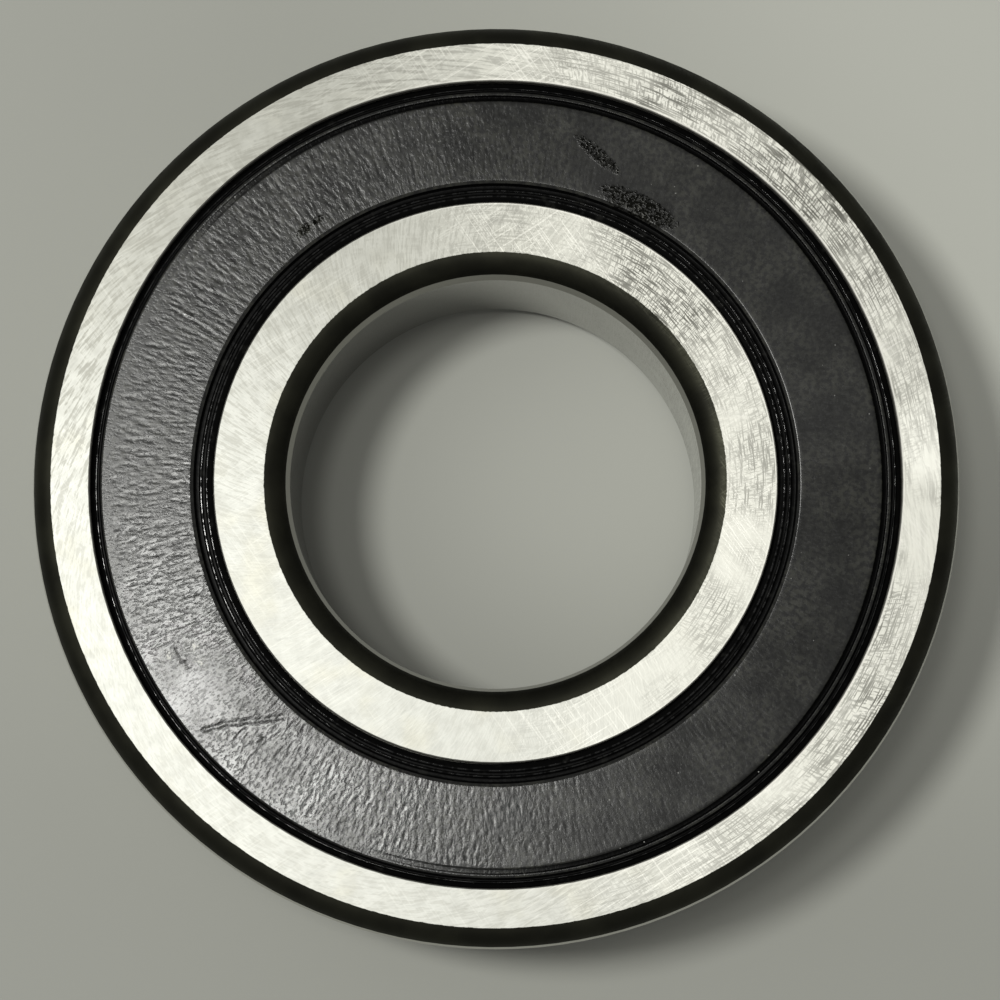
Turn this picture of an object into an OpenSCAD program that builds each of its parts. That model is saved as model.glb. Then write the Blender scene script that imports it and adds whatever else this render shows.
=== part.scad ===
// Sealed deep-groove ball bearing, lying flat.
// Z is the shaft axis, and the origin is on it at the middle of the rings' width.
// Lengths are in millimetres. A depth is measured down from a ring's face.

/* [Overall size] */
// Diameter of the bore, which takes the shaft
bore_d = 40; // [33:0.5:48]
// Outside diameter, which seats in the housing
outer_d = 90; // [82:0.5:108]
// Width of the rings
width = 23; // [19:0.5:30]

/* [Balls and raceways] */
// Diameter of a ball
ball_d = 15.08; // [12.5:0.01:18.1]
// Number of balls
ball_count = 8; // [6:1:9]
// Groove radius divided by ball diameter
groove_conformity = 0.52; // [0.51:0.005:0.55]
// Gap between a ball and each raceway
ball_play = 0.01; // [0.01:0.01:0.05]
// Height of the inner ring's shoulder above the bottom of its groove
inner_shoulder_h = 3.1; // [2.5:0.1:3.8]
// Height of the outer ring's shoulder above the bottom of its groove
outer_shoulder_h = 2.65; // [2.1:0.05:3.2]

/* [Ring corners] */
// Width of the outer ring's corner, seen on its face
rim_corner_w = 2; // [1.6:0.1:2.4]
// Height of the outer ring's corner, seen on its outside
rim_corner_h = 2.4; // [2.1:0.1:2.7]
// Width of the ground lead-in at the foot of that corner
rim_lead_w = 0.2; // [0.1:0.05:0.25]
// Height of that lead-in
rim_lead_h = 0.9; // [0.8:0.1:1.1]
// Width of the bore's corner, seen on the inner ring's face
bore_corner_w = 2.35; // [2:0.05:2.5]
// Height of the bore's corner, seen in the bore
bore_corner_h = 2.6; // [2.3:0.1:2.8]
// Width of the ground lead-in at the foot of that corner
bore_lead_w = 0.35; // [0.2:0.05:0.4]
// Height of that lead-in
bore_lead_h = 1.2; // [1.1:0.1:1.5]
// Radius of the turned arc of every corner
corner_arc_r = 2.6; // [2.4:0.1:4]
// Bevel that breaks the sharp edges beside the seals
edge_break = 0.12; // [0.05:0.01:0.2]

/* [Seals] */
// Depth of a seal's outer face below the ring faces
seal_recess = 0.45; // [0.3:0.05:0.7]
// Height of a seal, from its outer face to its seat in the outer ring
seal_h = 1.85; // [1.6:0.05:2.25]
// Drop from the inner ring's shoulder to the surface that the lip runs on
lip_seat_drop = 0.77; // [0.5:0.01:0.95]
// Step from the outer ring's shoulder out to the mouth that takes the seal
mouth_step = 1.85; // [1.6:0.05:2.2]
// Depth of the snap groove beyond the mouth
snap_depth = 0.7; // [0.4:0.05:0.85]
// Gap between the lip and the inner ring
lip_gap = 0.08; // [0.03:0.01:0.15]
// Gap between the rim bead and the snap groove
bead_gap = 0.05; // [0.02:0.01:0.15]
// Thickness of the sheet-steel insert
insert_t = 0.5; // [0.4:0.05:0.6]
// Thickness of the rubber over the insert
skin_t = 0.5; // [0.4:0.05:0.6]
// Height of the flange at the insert's edge
flange_h = 1.05; // [0.8:0.05:1.3]

/* [Cage] */
// Thickness of the cage's sheet steel
cage_t = 1.2; // [0.8:0.1:1.4]
// Gap between a ball and its pocket
pocket_gap = 0.15; // [0.05:0.05:0.3]
// Gap between the cage's edges and the ring shoulders
cage_land_gap = 0.85; // [0.4:0.05:1.1]
// Least gap between the pocket crowns and a seal
cage_seal_gap = 0.5; // [0.3:0.1:0.8]
// Diameter of a rivet's shank
rivet_shank_d = 2; // [1.6:0.1:2.4]
// Diameter of a rivet's head
rivet_head_d = 3.4; // [2.8:0.1:4]
// Height of a rivet's head
rivet_head_h = 0.9; // [0.6:0.1:1.2]

/* [Hidden] */
$fn = 128;

ring_steel = "gainsboro";
ball_steel = "silver";
cage_steel = "darkgray";
insert_steel = "slategray";
rivet_steel = "lightsteelblue";
seal_black = [0.16, 0.16, 0.16];

// How far a cut runs past the surface that it opens
over = 1;
// How far a corner's arc and its lead-in reach into each other, so that they cross cleanly
bite = 0.05;

half_w = width / 2;
bore_r = bore_d / 2;
outer_r = outer_d / 2;
ball_r = ball_d / 2;
pitch_r = (bore_r + outer_r) / 2;

// Raceways: each groove's bottom touches the balls but for the play
race_r = groove_conformity * ball_d;
inner_race_bottom = pitch_r - ball_r - ball_play;
outer_race_bottom = pitch_r + ball_r + ball_play;
inner_shoulder_r = inner_race_bottom + inner_shoulder_h;
outer_shoulder_r = outer_race_bottom - outer_shoulder_h;

// Where a seal meets the rings
lip_seat_r = inner_shoulder_r - lip_seat_drop;
mouth_r = outer_shoulder_r + mouth_step;
seat_depth = seal_recess + seal_h;

// Lip of a seal, from its inner foot round to the outer face.
// A point is its distance out from the lip's tip and its depth below the seal's face.
lip_h = 1.97;
LIP = [
    [1.55, 1.35], [1.2, lip_h], [0.72, lip_h], [0.58, 1.35],
    [0.25, 0.9], [0, 0.75], [0, 0.5], [0.34, 0.37],
    [0.58, 0.26], [0.68, 0.28], [0.82, 0.5], [1.02, 0.5],
    [1.12, 0.38], [1.24, 0.4], [1.36, 0.68], [1.74, 0.68],
    [1.84, 0.16], [2.16, 0]
];

// Rim of a seal, from the outer face to the bead's foot.
// A point is its distance in from the mouth and its depth below the seal's face.
RIM = [
    [2.1, 0], [1.9, 0.35], [1.62, 0.35], [1.5, 0.15],
    [0.68, 0.15], [0.55, 0.5], [0.55, 0.62]
];

// Depths below the seal's face where the snap groove is widest, and its lip above
snap_lip = 0.6;
snap_top = 1;
snap_bottom = 1.4;
// Width of the seat's corner that stays clear of the bead
snap_foot = 0.24;

// Insert, placed from the lip and from the mouth
insert_inner_r = lip_seat_r + 2.7;
insert_outer_r = mouth_r - 0.95;
insert_wrap_r = insert_inner_r + 0.7;
wrap_t = 0.35;
insert_top = seal_recess + skin_t;
insert_bottom = insert_top + insert_t;

// The lip's foot stops this far above the step in the inner ring
lip_step_depth = seal_recess + lip_h + lip_gap;

// Cage between the shoulders; its crowns are cut flat where the seals need the room
pocket_r = ball_r + pocket_gap;
cage_inner_r = inner_shoulder_r + cage_land_gap;
cage_outer_r = outer_shoulder_r - cage_land_gap;
crown_z = half_w - insert_bottom - cage_seal_gap;

ball_step = 360 / ball_count;

// A point of a ring's section: its radius and its depth below the upper face
function below_face(r, depth) = [r, half_w - depth];

// Centre of the arc of radius r from p to q whose bulge is on the left of p to q
function arc_centre(p, q, r) =
    let (
        chord = q - p,
        left = [-chord[1], chord[0]] / norm(chord)
    )
    (p + q) / 2 - left * sqrt(r * r - chord * chord / 4);

module each_side() {
    for (side = [0, 1])
        mirror([0, side])
            children();
}

module at_balls() {
    for (i = [1:ball_count])
        rotate([0, 0, ball_step * (i - 1)])
            translate([pitch_r, 0, 0])
                children();
}

module at_rivets() {
    for (i = [1:ball_count])
        rotate([0, 0, ball_step * (i - 0.5)])
            translate([pitch_r, 0, 0])
                children();
}

// What is cut from a square corner at [0, 0], with the ring below it and to its left:
// a turned arc from the face, then a ground lead-in down to the wall
module corner_waste(w, h, lead_w, lead_h) {
    arc_start = [-w, 0];
    arc_end = [-lead_w, lead_h - h];
    wall = [0, -h];
    lead_bite = (arc_end - wall) * bite / lead_h;
    difference() {
        polygon([
            [-w - bite, over],
            [over, over],
            [over, arc_end[1] - bite],
            [arc_end[0] - bite, arc_end[1] - bite],
            [-w - bite, -bite]
        ]);
        translate(arc_centre(arc_start, arc_end, corner_arc_r))
            circle(r = corner_arc_r);
    }
    polygon([
        arc_end + lead_bite,
        [over, arc_end[1] + lead_bite[1]],
        [over, -h - lead_bite[1]],
        wall - lead_bite
    ]);
}

// What is cut from a square corner at [0, 0] to break its edge
module edge_waste() {
    reach = edge_break + over;
    polygon([[-reach, over], [over, over], [over, -reach]]);
}

module outer_ring() {
    color(ring_steel)
        rotate_extrude()
            difference() {
                translate([outer_shoulder_r, -half_w])
                    square([outer_r - outer_shoulder_r, width]);
                translate([outer_race_bottom - race_r, 0])
                    circle(r = race_r);
                each_side() {
                    translate([outer_r, half_w])
                        corner_waste(rim_corner_w, rim_corner_h, rim_lead_w, rim_lead_h);
                    translate([mouth_r, half_w])
                        mirror([1, 0])
                            edge_waste();
                    polygon([
                        below_face(outer_shoulder_r - over, -over),
                        below_face(mouth_r, -over),
                        below_face(mouth_r, seal_recess + snap_lip),
                        below_face(mouth_r + snap_depth, seal_recess + snap_top),
                        below_face(mouth_r + snap_depth, seal_recess + snap_bottom),
                        below_face(mouth_r - snap_foot, seat_depth),
                        below_face(outer_shoulder_r - over, seat_depth)
                    ]);
                }
            }
}

module inner_ring() {
    color(ring_steel)
        rotate_extrude()
            difference() {
                translate([bore_r, -half_w])
                    square([inner_shoulder_r - bore_r, width]);
                translate([inner_race_bottom + race_r, 0])
                    circle(r = race_r);
                each_side() {
                    translate([bore_r, half_w])
                        mirror([1, 0])
                            corner_waste(bore_corner_w, bore_corner_h, bore_lead_w, bore_lead_h);
                    translate([lip_seat_r, half_w])
                        edge_waste();
                    polygon([
                        below_face(lip_seat_r, -over),
                        below_face(inner_shoulder_r + over, -over),
                        below_face(inner_shoulder_r + over, lip_step_depth),
                        below_face(lip_seat_r, lip_step_depth)
                    ]);
                }
            }
}

module ball(i) {
    color(ball_steel)
        rotate([0, 0, ball_step * (i - 1)])
            translate([pitch_r, 0, 0])
                sphere(r = ball_r);
}

// Upper half of the riveted cage: a flat band that bulges into a pocket over each ball
module cage_half() {
    color(cage_steel)
        difference() {
            intersection() {
                union() {
                    translate([0, 0, -over])
                        cylinder(r = cage_outer_r + over, h = over + cage_t);
                    at_balls()
                        sphere(r = pocket_r + cage_t);
                }
                rotate_extrude()
                    translate([cage_inner_r, 0])
                        square([cage_outer_r - cage_inner_r, crown_z]);
            }
            at_balls()
                sphere(r = pocket_r);
            at_rivets()
                cylinder(d = rivet_shank_d, h = 4 * cage_t, center = true);
        }
}

module rivet() {
    head_r = rivet_head_d / 2;
    dome_r = (head_r * head_r + rivet_head_h * rivet_head_h) / (2 * rivet_head_h);
    rotate_extrude() {
        translate([0, -cage_t])
            square([rivet_shank_d / 2, 2 * cage_t]);
        each_side()
            intersection() {
                translate([0, cage_t + rivet_head_h - dome_r])
                    circle(r = dome_r);
                translate([0, cage_t])
                    square([rivet_head_d, rivet_head_h + over]);
            }
    }
}

module cage_rivets() {
    color(rivet_steel)
        at_rivets()
            rivet();
}

// Rubber of the upper seal, moulded over the top, rim and inner edge of the insert
module seal_rubber() {
    lip_tip_r = lip_seat_r + lip_gap;
    bead_r = mouth_r + snap_depth - bead_gap;
    foot_r = mouth_r - snap_foot - bead_gap;
    flange_inner_r = insert_outer_r - insert_t;
    flange_bottom = insert_top + flange_h;
    color(seal_black)
        rotate_extrude()
            polygon(concat(
                [for (p = LIP) below_face(lip_tip_r + p[0], seal_recess + p[1])],
                [for (p = RIM) below_face(mouth_r - p[0], seal_recess + p[1])],
                [
                    below_face(bead_r, seal_recess + snap_top),
                    below_face(bead_r, seal_recess + snap_bottom),
                    below_face(foot_r, seat_depth),
                    below_face(flange_inner_r, seat_depth),
                    below_face(flange_inner_r, flange_bottom),
                    below_face(insert_outer_r, flange_bottom),
                    below_face(insert_outer_r, insert_top),
                    below_face(insert_inner_r, insert_top),
                    below_face(insert_inner_r, insert_bottom),
                    below_face(insert_wrap_r, insert_bottom),
                    below_face(insert_wrap_r, insert_bottom + wrap_t)
                ]
            ));
}

// Flanged steel washer that stiffens the upper seal, bare on the side of the balls
module seal_insert() {
    flange_inner_r = insert_outer_r - insert_t;
    flange_bottom = insert_top + flange_h;
    color(insert_steel)
        rotate_extrude()
            polygon([
                below_face(insert_inner_r, insert_top),
                below_face(insert_outer_r, insert_top),
                below_face(insert_outer_r, flange_bottom),
                below_face(flange_inner_r, flange_bottom),
                below_face(flange_inner_r, insert_bottom),
                below_face(insert_inner_r, insert_bottom)
            ]);
}

module flipped() {
    mirror([0, 0, 1])
        children();
}

outer_ring();
inner_ring();
for (i = [1:ball_count])
    ball(i);
cage_half();  // cage_half_upper
flipped() cage_half();  // cage_half_lower
cage_rivets();
seal_rubber();  // seal_rubber_upper
seal_insert();  // seal_insert_upper
flipped() seal_rubber();  // seal_rubber_lower
flipped() seal_insert();  // seal_insert_lower
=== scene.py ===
import math

import bpy
import numpy as np
from bpy.props import FloatProperty, FloatVectorProperty, IntProperty, PointerProperty
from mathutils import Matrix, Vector, noise


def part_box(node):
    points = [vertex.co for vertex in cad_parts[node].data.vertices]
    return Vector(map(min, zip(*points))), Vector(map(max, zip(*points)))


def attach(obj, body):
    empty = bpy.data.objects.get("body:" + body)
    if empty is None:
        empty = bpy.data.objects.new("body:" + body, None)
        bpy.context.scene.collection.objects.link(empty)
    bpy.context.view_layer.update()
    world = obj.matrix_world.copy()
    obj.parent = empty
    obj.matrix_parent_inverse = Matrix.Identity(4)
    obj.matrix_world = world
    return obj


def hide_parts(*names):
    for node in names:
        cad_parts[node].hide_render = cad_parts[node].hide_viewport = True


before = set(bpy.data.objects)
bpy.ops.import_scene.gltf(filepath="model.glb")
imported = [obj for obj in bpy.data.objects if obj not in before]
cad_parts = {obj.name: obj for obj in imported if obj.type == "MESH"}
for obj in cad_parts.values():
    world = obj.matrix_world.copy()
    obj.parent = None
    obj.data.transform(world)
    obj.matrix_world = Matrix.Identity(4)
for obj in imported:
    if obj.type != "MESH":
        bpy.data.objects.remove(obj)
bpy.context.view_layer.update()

bl_info = {
    "name": "Sealed Ball Bearing",
    "version": (1, 0, 0),
    "blender": (4, 5, 0),
    "location": "View3D > Sidebar > Bearing",
    "description": "Finishes a ball bearing's rings, seals, balls and cage, and sets its stage",
    "category": "Object",
}

MM = 0.001
# Distance below which two mesh points count as one
TOUCH = 1e-6
BALLS = sorted(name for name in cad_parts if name.startswith("ball_"))


def points_of(mesh):
    """The mesh's vertices as rows of x, y and z."""
    flat = np.zeros(3 * len(mesh.vertices))
    mesh.vertices.foreach_get("co", flat)
    return flat.reshape(-1, 3)


def radii(node):
    """Least and most distance of a CAD node from the shaft axis."""
    points = points_of(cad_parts[node].data)
    reach = np.hypot(points[:, 0], points[:, 1])
    return float(reach.min()), float(reach.max())


FACE_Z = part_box("outer_ring")[1].z
BORE_R = radii("inner_ring")[0]
OUTER_R = radii("outer_ring")[1]
# Highest point of each polished raceway, and middle of the bare edge beside each seal
OUTER_RACE_Z, INNER_RACE_Z = 5.88 * MM, 6.22 * MM
OUTER_EDGE_R, INNER_EDGE_R = 39.42 * MM, 27.14 * MM
# Middle of the arcs of grinding marks, round the spot where the light catches them; the arcs are painted
# light and shade
GLINT_ARC_CENTRE = (-0.008, -0.012, 0)

LIP_TIP_R, BEAD_R = radii("seal_rubber_upper")
SEAL_TOP_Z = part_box("seal_rubber_upper")[1].z
SEAL_SEAT_Z = FACE_Z - 2.3 * MM
INSERT_INNER_R, INSERT_OUTER_R = radii("seal_insert_upper")
INSERT_LOW, INSERT_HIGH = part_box("seal_insert_upper")
INSERT_SHEET = 0.5 * MM
# Step in the rubber under the insert's inner edge: how far out and how deep
LIP_NECK, LIP_NECK_DROP = 0.7 * MM, 0.35 * MM

# Outline of the seal's lip, from its foot over its ridges to the flat face.
# A point is its distance out from the lip's tip, its depth below the seal's face and its corner's radius.
LIP = (
    (1.55, 1.35, 0.15), (1.20, 1.97, 0.10), (0.72, 1.97, 0.10), (0.58, 1.35, 0.30),
    (0.25, 0.90, 0.10), (0.00, 0.75, 0.04), (0.00, 0.50, 0.08), (0.34, 0.37, 0.06),
    (0.58, 0.26, 0.05), (0.68, 0.28, 0.05), (0.82, 0.50, 0.06), (1.02, 0.50, 0.06),
    (1.12, 0.38, 0.05), (1.24, 0.40, 0.05), (1.36, 0.68, 0.07), (1.74, 0.68, 0.10),
    (1.84, 0.16, 0.10), (2.16, 0.00, 0.20),
)
# Outline of the seal's rim, from the flat face to the foot of its bead.
# A point is its distance in from the bead's widest circle, its depth and its corner's radius.
RIM = (
    (2.60, 0.00, 0.12), (2.46, 0.18, 0.05), (2.10, 0.18, 0.05), (1.95, 0.02, 0.05),
    (1.86, 0.02, 0.05), (1.66, 0.08, 0.06), (1.50, 0.46, 0.06), (1.38, 0.46, 0.04), (1.28, 0.34, 0.04),
    (1.19, 0.34, 0.04), (1.10, 0.64, 0.05), (0.00, 1.00, 0.08), (0.00, 1.40, 0.08), (0.94, 1.85, 0.05),
)
# Where the matt skin ends: out from the lip's tip, and in from the bead
SKIN_INNER, SKIN_OUTER = 1.92 * MM, 1.74 * MM
# Groove beside the rim: where it lies, in from the bead, and the direction in which it is deepest
GROOVE_SPAN = (1.78 * MM, 2.7 * MM)
GROOVE_TURN = math.radians(20)
# Depth within which a point belongs to the seal's upper side
TOP_BAND = 0.3 * MM
# Creases pressed into the upper skin: depth, and points (x, y), in millimetres
CREASES = (
    (0.014, ((-29.2, -19.8), (-28.8, -22.0), (-28.4, -24.2))),
    (0.036, ((-28.4, -24.2), (-25.9, -23.5), (-23.0, -23.2), (-20.2, -22.8))),
    (0.036, ((-30.6, -16.2), (-30.2, -17.1), (-29.7, -17.3), (-29.4, -17.9))),
    (0.010, ((-17.9, -29.2), (-14.6, -31.0), (-11.0, -32.3))),
)
# Crumbs moulded on the upper skin: x, y, radius and height in millimetres
CRUMBS = (
    (-22.7, -25.0, 0.22, 0.05), (2.1, -28.9, 0.3, 0.05),
    (-29.8, 16.2, 0.2, 0.06), (-27.6, 18.8, 0.2, 0.06),
)
# Middle of the smooth part of the upper skin, and the spots chafed white in it
CALM = (-0.0295, -0.0205, 0.011)
CHAFED = ((-0.0314, -0.0168, 0.011), (-0.0290, -0.0160, 0.011), (-0.0284, -0.0174, 0.011))
# Crumbled places of the upper skin: middle, lean in degrees, length to width, half width (mm), strength
CRUMBLED = (
    ((0.0139, 0.0269, 0.011), -27, 3.3, 1.5, 1.0), ((0.0099, 0.0321, 0.011), -42, 4.2, 0.85, 0.6),
    ((-0.0187, 0.0246, 0.011), 45, 1.9, 0.6, 1.0), ((-0.0173, 0.0256, 0.011), 40, 1.6, 0.5, 1.0),
)
# Middles of the worst scuffed places on the ring faces, and of the place rubbed clean
SCUFFED = (
    (0.0312, 0.0262, 0.0115), (0.0355, -0.0205, 0.0115),
    (0.0140, 0.0395, 0.0115), (0.0165, 0.0165, 0.0115),
)
CLEAN = (0.0425, 0.004, 0.0115)

# Shades of the ground faces
STAINED = (0.53, 0.517, 0.44, 1)
# Darker far side: painted shade, mixed with the steel's own cloudy tone
DULLED_AND_SHADED = (0.31, 0.309, 0.278, 1)
# Paler right side: handling wear, and painted light that brightens that side
HANDLED_AND_LIT = (0.72, 0.715, 0.655, 1)
RUBBED_CLEAN = (0.88, 0.875, 0.81, 1)
# Dark grinding strokes, laid in painted arcs of light and shade
STROKE_AND_SHADE = (0.25, 0.248, 0.222, 1)
SCORE = (0.72, 0.71, 0.66, 1)
NICK = (0.1, 0.098, 0.082, 1)
BARE_EDGE = (0.7, 0.69, 0.64, 1)
# Shades of the walls, the raceways and the dark corners
WALL = (0.8, 0.79, 0.73)
LAPPED_LOW, LAPPED_HIGH = (0.68, 0.67, 0.64, 1), (0.8, 0.79, 0.75, 1)
PALER_SCALE = (0.034, 0.034, 0.025, 1)
# Shades of the rubber
GREYED = (0.027, 0.0272, 0.021, 1)
MOTTLED = (0.004, 0.004, 0.0035, 1)
# Painted shade in the skin's folds
FOLD_SHADE = (0.005, 0.005, 0.005, 1)
# Crumbled places, turned black as a pit's shade by the metallic setting: painted shade
CRUMBLE_AND_SHADE = (0.006, 0.006, 0.005, 1)
# Painted shade in the groove beside the rim
GROOVE_SHADE = (0.004, 0.004, 0.004, 1)
DUST = (0.85, 0.85, 0.8, 1)
LINT = (0.012, 0.012, 0.011, 1)
# Shades of the hidden steel parts
BALL_LOW, BALL_HIGH = (0.74, 0.74, 0.74, 1), (0.79, 0.785, 0.775, 1)
CAGE_LOW = (0.34, 0.335, 0.31, 1)
RIVET_LOW, RIVET_HIGH = (0.5, 0.49, 0.47, 1), (0.66, 0.65, 0.63, 1)
INSERT_DARK = (0.09, 0.09, 0.095, 1)
STEEL_NICK = (0.2, 0.2, 0.19, 1)

# Camera, in metres, degrees and millimetres of lens
CAMERA_PLACE = (0.00466, -0.04263, 0.37934)
CAMERA_TURN = (6.316, 0.6458, 0.0715)
CAMERA_LENS, CAMERA_SENSOR = 138.09, 36
# Lamps: place and width in metres
KEY_PLACE, KEY_WIDTH = (-0.36, 0.05, 1.0), 0.18
SPOT_PLACE, SPOT_WIDTH = (-0.116, 0.03, 1.0), 0.12
LAMP_TONE, SKY_TONE = (1, 1, 0.96), (1, 1, 0.97, 1)
FLOOR_WIDTH = 3
# Middle of the painted pool of light on the floor, which shows through the bore
BORE_FLOOR_LIGHT_POOL = (0.01, 0.002, -FACE_Z)


# --- sizes and finishes that a user would change -------------------------------------------------


class BearingSizes(bpy.types.PropertyGroup):
    """Sizes of the rings' details, which the materials follow."""

    rim_corner: FloatProperty(
        name="Rim Corner", description="Width of the outer ring's dark corner on its face",
        default=2.0 * MM, unit="LENGTH",
    )
    rim_foot: FloatProperty(
        name="Rim Foot", description="Height at which the outer ring's dark corner ends",
        default=10.0 * MM, unit="LENGTH",
    )
    bore_corner: FloatProperty(
        name="Bore Corner", description="Width of the inner ring's dark corner on its face",
        default=2.35 * MM, unit="LENGTH",
    )
    bore_foot: FloatProperty(
        name="Bore Foot", description="Height at which the bore's dark corner ends",
        default=10.1 * MM, unit="LENGTH",
    )
    jag: FloatProperty(
        name="Jag", description="How far the dark corner eats into the ground face",
        default=0.1 * MM, unit="LENGTH",
    )


class SealFinish(bpy.types.PropertyGroup):
    """Mesh and moulded surface of the rubber seals."""

    segments: IntProperty(
        name="Segments", description="Steps round the seal", default=320, min=60,
    )
    skin_cuts: IntProperty(
        name="Skin Cuts", description="Extra cuts across each step of the flat skin", default=5, min=0,
    )
    skin_rings: IntProperty(
        name="Skin Rings", description="Rings of faces across the flat skin", default=26, min=2,
    )
    wrinkle_height: FloatProperty(
        name="Wrinkle Height", description="Depth of the skin's moulded wrinkles",
        default=0.0145 * MM, unit="LENGTH",
    )
    wrinkle_width: FloatProperty(
        name="Wrinkle Width", description="Width of a wrinkle round the seal",
        default=0.33 * MM, unit="LENGTH",
    )
    wrinkle_length: FloatProperty(
        name="Wrinkle Length", description="Length of a wrinkle across the seal",
        default=0.85 * MM, unit="LENGTH",
    )
    rubber: FloatVectorProperty(
        name="Rubber", description="Colour of the rubber", subtype="COLOR",
        size=4, default=(0.009, 0.0093, 0.0085, 1), min=0, max=1,
    )
    lip: FloatVectorProperty(
        name="Lip", description="Colour of the rubber's polished lip and rim", subtype="COLOR",
        size=4, default=(0.003, 0.003, 0.003, 1), min=0, max=1,
    )


class SteelFinish(bpy.types.PropertyGroup):
    """Colours of the steel parts."""

    ground: FloatVectorProperty(
        name="Ground Steel", description="Colour of the ground faces", subtype="COLOR",
        size=4, default=(0.54, 0.542, 0.507, 1), min=0, max=1,
    )
    scale: FloatVectorProperty(
        name="Furnace Scale", description="Colour of the dark corners left by heat treatment",
        subtype="COLOR", size=4, default=(0.022, 0.022, 0.017, 1), min=0, max=1,
    )
    turned: FloatVectorProperty(
        name="Turned Steel", description="Colour of the turned shoulders and seal grooves",
        subtype="COLOR", size=4, default=(0.24, 0.235, 0.21, 1), min=0, max=1,
    )
    pressed: FloatVectorProperty(
        name="Pressed Sheet", description="Colour of the cage", subtype="COLOR",
        size=4, default=(0.46, 0.45, 0.42, 1), min=0, max=1,
    )
    phosphate: FloatVectorProperty(
        name="Phosphate", description="Colour of the seals' steel inserts", subtype="COLOR",
        size=4, default=(0.16, 0.16, 0.17, 1), min=0, max=1,
    )


class StageSettings(bpy.types.PropertyGroup):
    """Floor, lamps and camera."""

    floor: FloatVectorProperty(
        name="Floor", description="Colour of the floor", subtype="COLOR",
        size=4, default=(0.352, 0.357, 0.325, 1), min=0, max=1,
    )
    ambient: FloatProperty(
        name="Ambient", description="Strength of the light from all round", default=0.3, min=0,
    )
    key: FloatProperty(
        name="Key", description="Power of the soft lamp high at the left", default=5.4, min=0, unit="POWER",
    )
    spot: FloatProperty(
        name="Spot", description="Power of the small lamp overhead", default=1.05, min=0, unit="POWER",
    )


# --- building node trees -------------------------------------------------------------------------


def put(tree, kind, inputs=None, **settings):
    """Adds a node. Its inputs, by name or number, are linked to a socket or set to a value."""
    made = tree.nodes.new(kind)
    for name, value in settings.items():
        setattr(made, name, value)
    for key, value in (inputs or {}).items():
        if isinstance(value, bpy.types.NodeSocket):
            tree.links.new(value, made.inputs[key])
        else:
            made.inputs[key].default_value = value
    return made


def sums(tree, operation, *values):
    """A Math node's result."""
    return put(tree, "ShaderNodeMath", dict(enumerate(values)), operation=operation).outputs[0]


def unless(tree, value):
    """1 where the value is 0, and 0 where it is 1."""
    return sums(tree, "SUBTRACT", 1.0, value)


def speckle(tree, spot, scale, detail):
    """Noise with so many features a metre."""
    inputs = {"Vector": spot, "Scale": scale, "Detail": detail}
    return put(tree, "ShaderNodeTexNoise", inputs).outputs[0]


def most(tree, values):
    """The largest of several values."""
    while len(values) > 1:
        values.append(sums(tree, "MAXIMUM", values.pop(0), values.pop(0)))
    return values[0]


def step(tree, value, start, end):
    """0 below start and 1 above end, with a smooth rise between them."""
    inputs = {"Value": value, "From Min": start, "From Max": end}
    return put(tree, "ShaderNodeMapRange", inputs, interpolation_type="SMOOTHSTEP").outputs["Result"]


def near(tree, spot, place, core, reach):
    """1 within core of a place, 0 past reach of it."""
    away = put(tree, "ShaderNodeVectorMath", {0: spot, 1: place}, operation="DISTANCE").outputs["Value"]
    return unless(tree, step(tree, away, core, reach))


def long_spot(tree, spot, place, lean, stretch, reach):
    """1 in the middle of an oval place, 0 past its edge."""
    scale, turn = (stretch, 1, 1), (0, 0, math.radians(lean))
    moved = put(
        tree, "ShaderNodeMapping", {"Vector": spot, "Location": place, "Rotation": turn, "Scale": scale},
        vector_type="TEXTURE",
    ).outputs[0]
    return near(tree, moved, (0, 0, 0), 0.3 * reach, reach)


def blend(tree, factor, low, high):
    """A colour between low and high."""
    made = put(tree, "ShaderNodeMix", data_type="RGBA")
    for socket, value in ((made.inputs[0], factor), (made.inputs[6], low), (made.inputs[7], high)):
        if isinstance(value, bpy.types.NodeSocket):
            tree.links.new(value, socket)
        else:
            socket.default_value = value
    return made.outputs[2]


def group(name, inputs, outputs):
    """A new shader node group with float or vector sockets, and its input and output nodes."""
    tree = bpy.data.node_groups.new(name, "ShaderNodeTree")
    for socket, default in inputs.items():
        kind = "NodeSocketVector" if default is None else "NodeSocketFloat"
        made = tree.interface.new_socket(socket, in_out="INPUT", socket_type=kind)
        if default is not None:
            made.default_value = default
    for socket in outputs:
        tree.interface.new_socket(socket, in_out="OUTPUT", socket_type="NodeSocketFloat")
    return tree, tree.nodes.new("NodeGroupInput").outputs, tree.nodes.new("NodeGroupOutput").inputs


def place_group():
    """Distance from the shaft axis, and height above or below the middle."""
    tree, given, result = group("Axis Place", {"Vector": None}, ("Radius", "Height"))
    parts = put(tree, "ShaderNodeSeparateXYZ", {0: given["Vector"]}).outputs
    across = put(tree, "ShaderNodeCombineXYZ", {"X": parts["X"], "Y": parts["Y"]}).outputs[0]
    length = put(tree, "ShaderNodeVectorMath", {0: across}, operation="LENGTH").outputs["Value"]
    tree.links.new(length, result["Radius"])
    tree.links.new(sums(tree, "ABSOLUTE", parts["Z"]), result["Height"])
    return tree


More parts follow.
